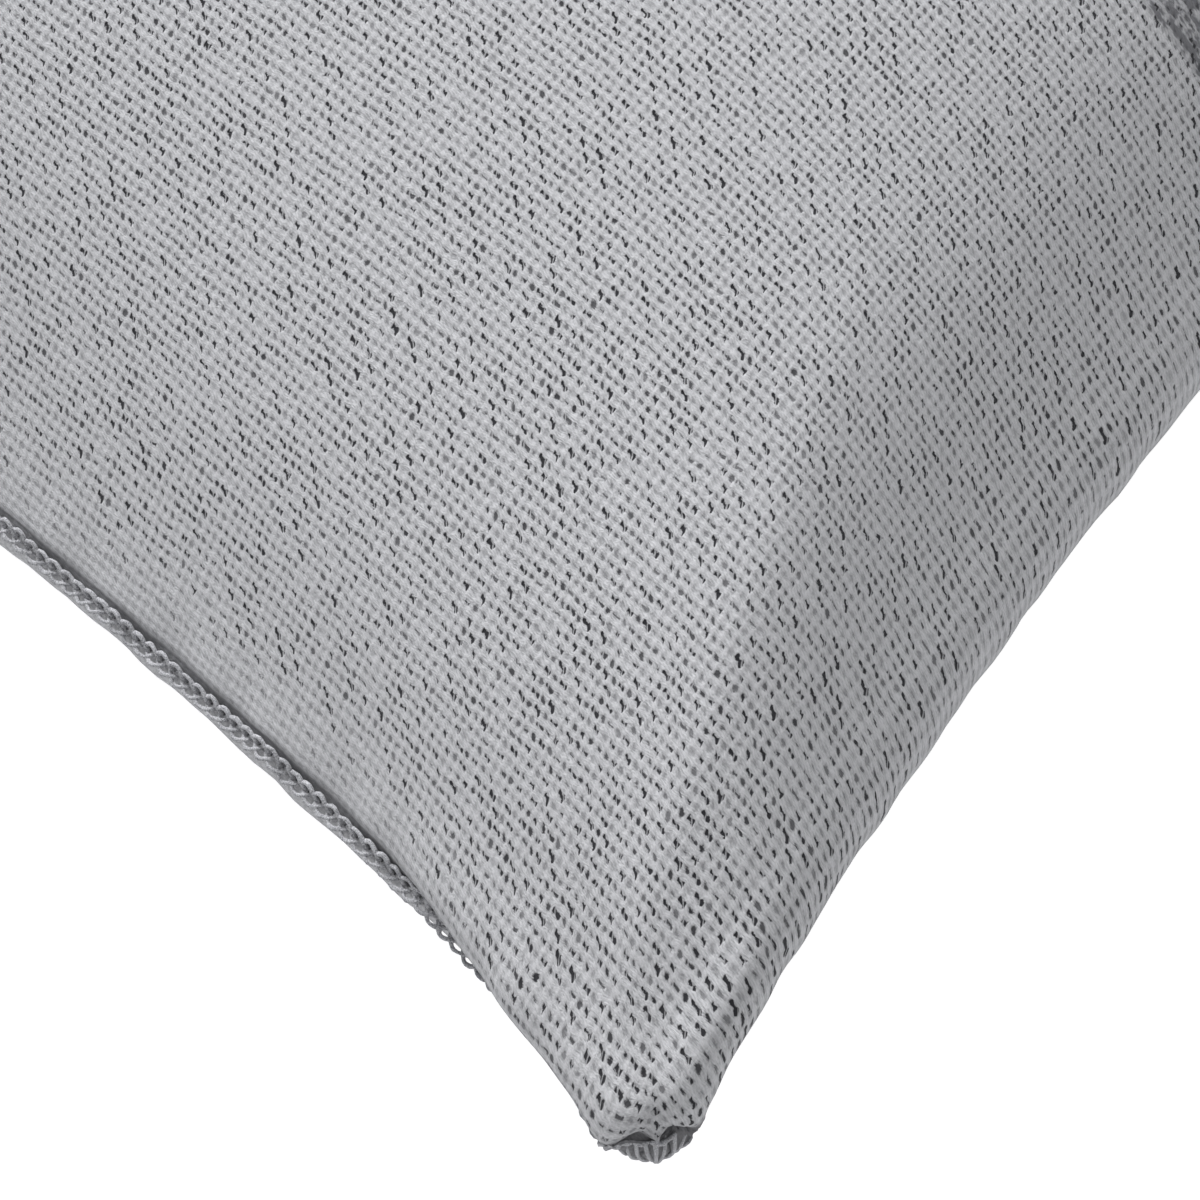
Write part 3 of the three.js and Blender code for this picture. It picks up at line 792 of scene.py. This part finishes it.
def sewPanel(panel, u, v, side):
    # Adds the gathers, the drawn-in seam, the bulge under it and the zip opening to a fine panel
    toSide = (1 - np.abs(u)) * pillow["reach"]
    toEnd = (1 - np.abs(v)) * pillow["reach"]
    nearSide = np.exp(-toSide / sewing["sideReach"])
    nearEnd = np.exp(-toEnd / sewing["sideReach"])
    away = np.stack([np.sign(u) * nearSide, np.sign(v) * nearEnd, np.zeros_like(u)], -1)
    away /= np.maximum(np.linalg.norm(away, axis=-1, keepdims=True), 1e-9)
    corner = np.minimum(np.abs(u), np.abs(v))
    tip = smooth(corner, *sewing["tip"])
    ear = smooth(corner, *sewing["ear"]) * (1 - tip)
    endShare = nearEnd ** 2 / (nearEnd ** 2 + nearSide ** 2 + 1e-12)
    toSeam = np.minimum(toSide, toEnd)
    pastZip = smooth(np.abs(u) * pillow["reach"], sewing["rimHalf"], sewing["rimEnd"])
    open_ = smooth(v, *sewing["zipSide"]) * (1 - pastZip)

    def along(pair):
        return pair[1] + (pair[0] - pair[1]) * endShare

    def atEar(value, earValue, tipValue):
        return value * (1 - ear) * (1 - tip) + earValue * ear + tipValue * tip

    pull = np.exp(-(toSeam / sewing["pullReach"]) ** 2) * (1 - open_)
    inset = (along(sewing["inset"]) + sewing["earInset"] * (ear + tip)) * pull
    lift = atEar(along(sewing["lift"]), sewing["earLift"], sewing["tipLift"]) * pull
    wave = ripple(panel[..., 0], 11) * nearEnd + ripple(panel[..., 1], 23) * nearSide
    loose = ripple(panel[..., 0], 31 + side) * nearEnd + ripple(panel[..., 1], 47 + side) * nearSide
    near = np.exp(-(toSeam / sewing["puckerStart"]) ** 2)
    calm = 1 - sewing["zipCalm"] * open_
    normal = surfaceNormals(panel) * side
    panel = panel - away * inset[..., None]
    panel[..., 2] += lift + sewing["waver"] * wave * pull
    inReach = np.clip(np.exp(-toSeam / sewing["puckerReach"]) * 1.6, 0, 1)
    swell = sewing["pucker"] * loose * (1 - near) * calm * inReach
    panel = panel + normal * swell[..., None]
    reach = toSeam / sewing["bulgeAt"]
    which = 0 if side > 0 else 1
    bulge = along(sewing["frontBulge"] if side > 0 else sewing["backBulge"])
    bulge = atEar(bulge, sewing["earBulge"][which], sewing["tipBulge"][which])
    panel = panel + away * (bulge * reach * np.exp(1 - reach) * (1 - open_))[..., None]
    inGroove = np.exp(-((toSeam - sewing["grooveAt"]) / sewing["grooveWidth"]) ** 2)
    dip = sewing["groove"] * inGroove * (1 - open_) * (toSeam > 1e-6)
    panel = panel - normal * dip[..., None]
    # each ear ends in a blunt, round knob
    for row, column in ((0, 0), (0, -1), (-1, 0), (-1, -1)):
        tipPoint = panel[row, column].copy()
        inwards = -np.sign(tipPoint[:2]) / math.sqrt(2)
        centre = tipPoint + np.append(inwards * sewing["knobBack"], -sewing["knobDown"])
        away3 = panel - centre
        length = np.maximum(np.linalg.norm(away3, axis=-1), 1e-6)
        sharp = sewing["knobSharp"]
        wanted = (length ** sharp + sewing["knob"] ** sharp) ** (1 / sharp)
        share = 1 - smooth(length, 1.5 * sewing["knob"], 3.0 * sewing["knob"])
        panel = panel + away3 * ((wanted / length - 1) * share)[..., None]
    # the rims beside the zip lie in one straight line
    rim = panel[-1]
    hold = 1 - smooth(np.abs(rim[:, 0]), sewing["rimHalf"], sewing["rimEnd"])
    move = np.zeros_like(rim)
    move[:, 1] = (sewing["rimLine"] - rim[:, 1]) * hold
    move[:, 2] = (pillow["seamLevel"] + side * sewing["rimGap"] - rim[:, 2]) * hold
    panel = panel + move[None] * np.exp(-(toEnd / sewing["rimReach"]) ** 2)[..., None] * (v > 0)[..., None]
    return panel


opening = {
    "plainFrom": 0.002,  # the stitches are closed up to here from a seam
    "endReach": 0.018,  # and fully open this much further in, beside the front and rear seams
    "sideReach": 0.007,
    "endLeast": 0.25,
    "sideLeast": 0.2,
    "earSpread": 0.22,
    "backShare": 0.8,
    "backTips": 0.6,
    "most": 1.15,
}


def openness(panel, u, v, side):
    # How wide the stitches are open, over the whole panel
    toSide = (1 - np.abs(u)) * pillow["reach"]
    toEnd = (1 - np.abs(v)) * pillow["reach"]
    ear = smooth(np.abs(u) + np.abs(v), 1.55, 1.9)
    start, least = opening["plainFrom"], opening["endLeast"]
    endOpen = least + (1 - least) * smooth(toEnd, start, start + opening["endReach"] * (1 - 0.85 * ear))
    least = opening["sideLeast"]
    sideOpen = least + (1 - least) * smooth(toSide, start, start + opening["sideReach"] * (1 - 0.6 * ear))
    cloud = 0.5 + 0.5 * np.sin(panel[..., 0] * 71 + 1.3) * np.sin(panel[..., 1] * 63 + 0.7)
    value = endOpen * sideOpen * (0.86 + 0.14 * cloud)
    value += opening["earSpread"] * ear * smooth(np.minimum(toSide, toEnd), 0.003, 0.008)
    if side < 0:
        tips = smooth(np.minimum(np.abs(u), np.abs(v)), 0.90, 0.97)
        value = value * (opening["backShare"] + (1 - opening["backShare"]) * ear) + opening["backTips"] * tips
    return np.clip(value, 0, opening["most"])


def finishSoft(piece, node, material):
    takeOnly(piece)
    bpy.ops.object.shade_smooth()
    piece.data.materials.clear()
    piece.data.materials.append(material)
    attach(piece, "pillow")
    if node:
        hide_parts(node)


def addKnitPanel(name, panel, u, v, places, side):
    piece = addPanel(name, panel)
    if side < 0:
        flipFaces(piece)
    mesh = piece.data
    mesh.uv_layers[0].name = "weave"
    corner = np.empty(len(mesh.loops), dtype=np.int32)
    mesh.loops.foreach_get("vertex_index", corner)
    flat = np.stack(np.meshgrid(places, places), -1).reshape(-1, 2)
    toSeam = np.minimum(1 - np.abs(u), 1 - np.abs(v)) * pillow["reach"]
    # painted shade beside the seams and, fainter, over the tips of the ears; the knit material darkens by it
    paintedSeamShade = mesh.attributes.new("paintedSeamShade", "FLOAT", "POINT")
    nearTip = smooth(np.minimum(np.abs(u), np.abs(v)), 0.93, 0.98)
    shade = np.exp(-(toSeam / (sewing["paintedShadeReach"] * (1 + nearTip))) ** 2)
    paintedSeamShade.data.foreach_set("value", np.maximum(shade, sewing["tipShade"] * nearTip).reshape(-1))
    mesh.uv_layers["weave"].data.foreach_set("uv", flat[corner].reshape(-1))
    bake = mesh.uv_layers.new(name="OFBake", do_init=False)
    bake.data.foreach_set("uv", (flat[corner] * 0.98 + 0.01).reshape(-1))
    tag = mesh.attributes.new("openness", "FLOAT", "POINT")
    tag.data.foreach_set("value", openness(panel, u, v, side).reshape(-1))
    return piece


start = [startShape(pillow["cells"], side) for side in (1, -1)]
coarseFront, coarseBack = settle(*inflate(*start))
even = np.linspace(0, 1, pillow["fineCells"] + 1)
places = even - pillow["crowding"] * np.sin(2 * np.pi * even) / (2 * np.pi)
fineU, fineV = np.meshgrid(places * 2 - 1, places * 2 - 1)
fineFront = sewPanel(foldEars(refine(coarseFront, places), fineU, fineV), fineU, fineV, 1)
fineBack = sewPanel(refine(coarseBack, places), fineU, fineV, -1)

for side, name, panel, material in ((1, "front", fineFront, frontKnit), (-1, "back", fineBack, backKnit)):
    piece = addKnitPanel("knit_" + name, panel, fineU, fineV, places, side)
    finishSoft(piece, "cover_" + name, material)
print("knitted panels sewn")

# Linked seams

chain = {
    "pitch": 0.0029,  # one loop
    "spread": 0.00138,
    "thickness": 0.00040,  # radius of the yarn
    "tilt": 40.0,  # degrees the chain faces outwards from straight up
    "stand": (0.0005, -0.0014),  # above the fold, on the front and rear sides and on the other two
    "earSink": 0.0016,
    "zipEnd": 0.1675,
    "uneven": 0.00009,
    "unevenSize": 0.0041,
    "leg": (  # half a loop: along in pitches, out in spreads, up in yarn radii
        (-0.30, 0.10, -1.6),
        (0.0, 0.55, -0.1),
        (0.40, 1.15, 0.5),
        (0.85, 0.85, 0.3),
        (1.20, 0.25, -0.2),
        (1.42, 0.0, -1.6),
    ),
}


def addTube(points, thickness, sides=1, steps=2):
    # A short bent yarn through the points, with closed ends
    clearSelection()
    bpy.ops.curve.primitive_nurbs_path_add(location=(0, 0, 0))
    path = bpy.context.object
    spline = path.data.splines[0]
    spline.points.add(len(points) - len(spline.points))
    for point, place in zip(spline.points, points):
        point.co = (*place, 1.0)
    spline.order_u = 3
    spline.use_endpoint_u = True
    spline.resolution_u = steps
    path.data.bevel_depth = thickness
    path.data.bevel_resolution = sides
    path.data.use_fill_caps = True
    bpy.ops.object.convert(target="MESH")
    return bpy.context.object


def joinAll(pieces, name):
    clearSelection()
    for piece in pieces:
        piece.select_set(True)
    bpy.context.view_layer.objects.active = pieces[0]
    if len(pieces) > 1:
        bpy.ops.object.join()
    bpy.context.object.name = name
    return bpy.context.object


def closeUp(piece):
    # Merges doubles and turns every face outwards
    takeOnly(piece)
    bpy.ops.object.mode_set(mode="EDIT")
    bpy.ops.mesh.select_all(action="SELECT")
    bpy.ops.mesh.remove_doubles(threshold=0.000005)
    bpy.ops.mesh.normals_make_consistent(inside=False)
    bpy.ops.object.mode_set(mode="OBJECT")
    bpy.ops.object.shade_smooth()


def addRoute(points):
    # A path object through the points, for pieces that follow it
    clearSelection()
    bpy.ops.curve.primitive_nurbs_path_add(location=(0, 0, 0))
    route = bpy.context.object
    spline = route.data.splines[0]
    spline.type = "POLY"
    spline.points.add(len(points) - len(spline.points))
    flat = np.concatenate([points, np.ones((len(points), 1))], axis=1)
    spline.points.foreach_set("co", flat.reshape(-1))
    route.data.twist_mode = "Z_UP"
    return route


def spacedOut(points, step):
    lengths = np.r_[0, np.cumsum(np.linalg.norm(np.diff(points, axis=0), axis=1))]
    count = max(2, int(round(lengths[-1] / step)))
    at = np.linspace(0, lengths[-1], count + 1)
    return np.stack([np.interp(at, lengths, points[:, axis]) for axis in range(3)], -1), lengths[-1]


def repeatAlong(piece, points, pitch, name):
    # Copies a piece end to end along the points
    even, length = spacedOut(points, 0.0015)
    route = addRoute(even)
    count = max(1, int(round(length / pitch)))
    takeOnly(piece)
    piece.name = name
    row = piece.modifiers.new("row", "ARRAY")
    row.count = count
    row.use_relative_offset = False
    row.use_constant_offset = True
    row.constant_offset_displace = (length / count, 0, 0)
    follow = piece.modifiers.new("follow", "CURVE")
    follow.object = route
    follow.deform_axis = "POS_X"
    bpy.ops.object.modifier_apply(modifier="row")
    bpy.ops.object.modifier_apply(modifier="follow")
    bpy.data.objects.remove(route)
    return piece


def unevenYarn(piece, amount, size):
    # Moves the yarn a little here and there, so that no two loops are the same
    places = readPlaces(piece)
    k = 2 * np.pi / size
    x, y, z = places[:, 0] * k, places[:, 1] * k, places[:, 2] * k
    push = np.stack(
        [np.sin(1.3 * y + 2.1 * z), np.sin(1.1 * x + 1.7 * z + 2.0), np.sin(1.2 * x + 0.9 * y)], -1
    )
    push += 0.6 * np.stack([np.sin(2.9 * x), np.sin(3.1 * y + 1.0), np.sin(2.7 * x + 2.3 * y)], -1)
    piece.data.vertices.foreach_set("co", (places + push * amount).reshape(-1))
    piece.data.update()


def addLink():
    pitch, spread, thick = chain["pitch"], chain["spread"], chain["thickness"]
    legs = []
    for side, shift in ((1, 0.0), (-1, 0.5)):
        points = [
            ((along + shift) * pitch, side * out * spread, up * thick) for along, out, up in chain["leg"]
        ]
        legs.append(addTube(points, thick))
    link = joinAll(legs, "link")
    takeOnly(link)
    bpy.ops.object.mode_set(mode="EDIT")
    bpy.ops.mesh.select_all(action="SELECT")
    angle = math.radians(chain["tilt"])
    bpy.ops.transform.rotate(value=-angle, orient_axis="X", center_override=(0, 0, 0))
    bpy.ops.object.mode_set(mode="OBJECT")
    return link


def seamLine(points, stand):
    # The seam's own points, moved out to where the chain lies, and into the fold at the ears
    out = points[:, :2] / np.linalg.norm(points[:, :2], axis=1, keepdims=True)
    ear = smooth(np.min(np.abs(points[:, :2]), axis=1), 0.196, 0.212)
    out3 = np.concatenate([out, np.full((len(points), 1), 0.8)], axis=1)
    return points + out3 * (stand - chain["earSink"] * ear)[:, None]


rearEdge = fineFront[-1, ::-1]
seams = {
    "front": fineFront[0],
    "right": fineFront[:, -1],
    "rear_right": rearEdge[rearEdge[:, 0] > chain["zipEnd"]],
    "rear_left": rearEdge[rearEdge[:, 0] < -chain["zipEnd"]],
    "left": fineFront[::-1, 0],
}
for name, points in seams.items():
    stand = chain["stand"][1 if name in ("left", "right") else 0]
    seam = repeatAlong(addLink(), seamLine(points, stand), chain["pitch"], "chain_" + name)
    closeUp(seam)
    unevenYarn(seam, chain["uneven"], chain["unevenSize"])
    finishSoft(seam, "seam_" + name, linkingYarn)
print("seams linked")

gathers = {
    "count": 15,  # strands at each ear
    "reach": 0.0052,
    "thickness": 0.00036,
    "around": 0.013,  # how far along the seam they go from the tip
}


def gatherStrands():
    # Short strands that fan out of the fold at each ear, over the back panel
    rng = np.random.default_rng(5)
    last = pillow["fineCells"]
    strands = []
    for signX, signY in ((-1, -1), (1, -1), (1, 1), (-1, 1)):
        tipX, tipY = (0 if signX < 0 else last), (0 if signY < 0 else last)
        for place in np.linspace(-1, 1, gathers["count"]):
            reach = gathers["reach"] * rng.uniform(0.6, 1.1)
            start = abs(place) * gathers["around"]
            bend = rng.uniform(-0.3, 0.3)
            points = []
            for share in (0.02, 0.25, 0.5, 0.75, 1.0):
                inwards = reach * share
                along = start * (1 - 0.25 * share) + bend * inwards
                stepsAlong = np.searchsorted(earDistance, max(along, inwards))
                stepsIn = np.searchsorted(earDistance, inwards)
                column, row = (stepsAlong, stepsIn) if place > 0 else (stepsIn, stepsAlong)
                column, row = abs(tipX - column), abs(tipY - row)
                out = backNormals[row, column] * (0.00022 if 0.1 < share < 0.9 else -0.0003)
                points.append(tuple(fineBack[row, column] + out))
            strands.append(addTube(points, gathers["thickness"]))
    return joinAll(strands, "ear_gathers")


backNormals = -surfaceNormals(fineBack)
earDistance = places[: len(places) // 2] * 2 * pillow["reach"]
earGathers = gatherStrands()
closeUp(earGathers)
finishSoft(earGathers, None, linkingYarn)
print("ears gathered")

# Insert

insert = {
    "casing": (0.962, 0.955),  # size against the cover, across and in height
    "fill": (0.950, 0.930),
    "thread": 0.0004,
    "stitch": 0.0032,
    "path": (
        (0.0, 0, -0.0002),
        (0.0006, 0, 0.0004),
        (0.0014, 0, 0.0005),
        (0.0022, 0, 0.0004),
        (0.0028, 0, -0.0002),
    ),
    "lumps": 0.0012,
    "firmness": 0.85,
}


def innerLayer(panel, size):
    layer = panel.copy()
    layer[..., :2] *= size[0]
    layer[..., 2] = pillow["seamLevel"] + (layer[..., 2] - pillow["seamLevel"]) * size[1]
    return layer


for side, panel, name in ((1, coarseFront, "front"), (-1, coarseBack, "back")):
    casing = addPanel("casing_" + name, innerLayer(panel, insert["casing"]))
    if side < 0:
        flipFaces(casing)
    finishSoft(casing, "insert_casing_" + name, insertCotton)

fillHalves = []
for side, panel in ((1, coarseFront), (-1, coarseBack)):
    layer = innerLayer(panel, insert["fill"])
    lumps = np.sin(layer[..., 0] * 190) * np.sin(layer[..., 1] * 170 + 1.0)
    layer[1:-1, 1:-1, 2] += side * insert["lumps"] * lumps[1:-1, 1:-1]
    half = addPanel("filling", layer)
    if side < 0:
        flipFaces(half)
    fillHalves.append(half)
filling = joinAll(fillHalves, "fibre_filling")
closeUp(filling)
finishSoft(filling, "fill_core", fibreFill)

casingEdge = innerLayer(coarseFront, insert["casing"])
stitchRows = []
for edge in (casingEdge[0], casingEdge[:, -1], casingEdge[-1, ::-1], casingEdge[::-1, 0]):
    stitch = addTube(insert["path"], insert["thread"])
    stitchRows.append(repeatAlong(stitch, edge, insert["stitch"], "stitch_row"))
insertStitches = joinAll(stitchRows, "insert_stitches")
closeUp(insertStitches)
finishSoft(insertStitches, "insert_seam", insertThread)
print("insert filled")

# Zip

zipLook = {
    "toothPitch": 0.0014,
    "toothWire": 0.00034,
    "stitch": 0.0030,
    "stitchThread": 0.00028,
    "stitchFromRim": 0.0052,
    "dash": ((0.0, -1), (0.0004, 0.6), (0.0013, 1), (0.0022, 0.6), (0.0026, -1)),
    "tapeWall": 0.0006,
    "tapeGap": 0.0003,  # half the gap between the tapes past the stops
    "tapeEase": 0.003,
    "tapePast": (0.0002, 0.0030),  # from here to here past the stops
    "tapeLonger": 0.006,  # tucked under the cover at each end
    "tapeUnder": 0.0016,  # below the cover's face
}


def addStrip(name, low, high, cellsX, cellsZ, shapeAt):
    # A strip of cloth in the X and Z directions, its Y from shapeAt
    bpy.ops.mesh.primitive_grid_add(x_subdivisions=cellsX, y_subdivisions=cellsZ, size=2, calc_uvs=True)
    strip = bpy.context.object
    strip.name = name
    places = readPlaces(strip)
    x = low[0] + (places[:, 0] + 1) * 0.5 * (high[0] - low[0])
    z = low[2] + (places[:, 1] + 1) * 0.5 * (high[2] - low[2])
    strip.data.vertices.foreach_set("co", np.stack([x, shapeAt(x, z), z], -1).reshape(-1))
    strip.data.update()
    return strip


def thicken(piece, wall, offset=0.0):
    takeOnly(piece)
    solid = piece.modifiers.new("wall", "SOLIDIFY")
    solid.thickness = wall
    solid.offset = offset
    bpy.ops.object.modifier_apply(modifier="wall")


def coverAt(panel, x, z):
    # Y of the cover's rear face at each X and Z
    near = panel[:-40:-1]
    found = np.empty_like(x)
    for index, (atX, atZ) in enumerate(zip(x, z)):
        strip = near[:, int(np.abs(near[0, :, 0] - atX).argmin())]
        rise = np.maximum.accumulate(np.abs(strip[:, 2] - pillow["seamLevel"]))
        found[index] = np.interp(abs(atZ - pillow["seamLevel"]), rise, strip[:, 1])
    return found


stopEnds = (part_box("zip_top_stop_front")[0][0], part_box("zip_bottom_stop")[1][0])
for side, name in ((1, "front"), (-1, "back")):
    low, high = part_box("zip_tape_" + name)

    def tapeAt(x, z, low=low, high=high, side=side):
        rise = np.abs(z - pillow["seamLevel"])
        gentle = 0.00012 * np.sin(x * 310) * np.clip((rise - 0.005) / 0.006, 0, 1)
        free = high[1] - 0.0006 - 0.0030 * np.clip((rise - 0.0045) / 0.0095, 0, 1) ** 1.4 + gentle
        cover = coverAt(fineFront if side > 0 else fineBack, x, z)
        under = cover - zipLook["tapeUnder"] * smooth(rise, 0.0040, 0.0060)
        return np.where(rise > 0.0040, np.minimum(free, under), free)

    longer = zipLook["tapeLonger"]
    ends = ((low[0] - longer, low[1], low[2]), (high[0] + longer, high[1], high[2]))
    tape = addStrip("tape_" + name, *ends, 190, 8, tapeAt)
    # past the stops the two tapes come together
    places = readPlaces(tape)
    edge = low[2] if side > 0 else high[2]
    past = np.where(places[:, 0] < 0, stopEnds[0] - places[:, 0], places[:, 0] - stopEnds[1])
    share = 1 - np.clip(np.abs(places[:, 2] - edge) / zipLook["tapeEase"], 0, 1)
    share *= smooth(past, *zipLook["tapePast"])
    places[:, 2] += (pillow["seamLevel"] + side * zipLook["tapeGap"] - edge) * share
    tape.data.vertices.foreach_set("co", places.reshape(-1))
    thicken(tape, zipLook["tapeWall"])
    closeUp(tape)
    finishSoft(tape, "zip_tape_" + name, zipTape)

    low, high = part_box("zip_coil_" + name)
    near, far = (low[2], high[2]) if side > 0 else (high[2], low[2])
    middleY = (low[1] + high[1]) / 2
    reachY = (high[1] - low[1]) / 2 - zipLook["toothWire"]
    reachZ = far - near
    shift = 0.25 * side * zipLook["toothPitch"]
    loop = [
        (shift, -reachY, 0.98 * reachZ),
        (shift, -reachY, 0.1 * reachZ),
        (shift, -0.3 * reachY, -0.30 * reachZ),
        (shift, 0.6 * reachY, -0.30 * reachZ),
        (shift + 0.0002, reachY, 0.25 * reachZ),
        (shift + 0.0005, reachY, 0.98 * reachZ),
    ]
    tooth = addTube(loop, zipLook["toothWire"], sides=1, steps=1)
    line = np.array([[x, middleY, near] for x in np.linspace(low[0] + 0.0004, high[0] - 0.0004, 60)])
    coil = repeatAlong(tooth, line, zipLook["toothPitch"], "coil_" + name)
    closeUp(coil)
    finishSoft(coil, "zip_coil_" + name, zipCoil)

    panel = fineFront if side > 0 else fineBack
    fromRim = np.linalg.norm(panel - panel[-1][None], axis=-1)
    row = int(np.argmin(np.abs(fromRim[:, pillow["fineCells"] // 2] - zipLook["stitchFromRim"])))
    normal = surfaceNormals(panel)[row] * side
    points = panel[row] + normal * 0.00018
    points = points[np.abs(points[:, 0]) < 0.159]
    bite = zipLook["stitchThread"]
    dash = [(x, 0, bite * up) for x, up in zipLook["dash"]]
    stitches = repeatAlong(addTube(dash, bite), points, zipLook["stitch"], "zip_stitches_" + name)
    closeUp(stitches)
    finishSoft(stitches, "zip_stitching_" + name, sewingThread)

for node in ("zip_top_stop_front", "zip_top_stop_back", "zip_bottom_stop", "zip_slider_body", "zip_pull_tab"):
    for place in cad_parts[node].material_slots:
        place.material = zipMetal
print("zip fitted")

# Label

low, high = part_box("care_label")


def labelAt(x, z):
    fall = (high[2] - z) / (high[2] - low[2])
    return low[1] + 0.0008 + 0.0022 * fall ** 1.5 + 0.0003 * np.sin(x * 240)


label = addStrip("label_ribbon", low, high, 26, 10, labelAt)
thicken(label, 0.0004)
closeUp(label)
finishSoft(label, "care_label", labelRibbon)
print("label sewn in")
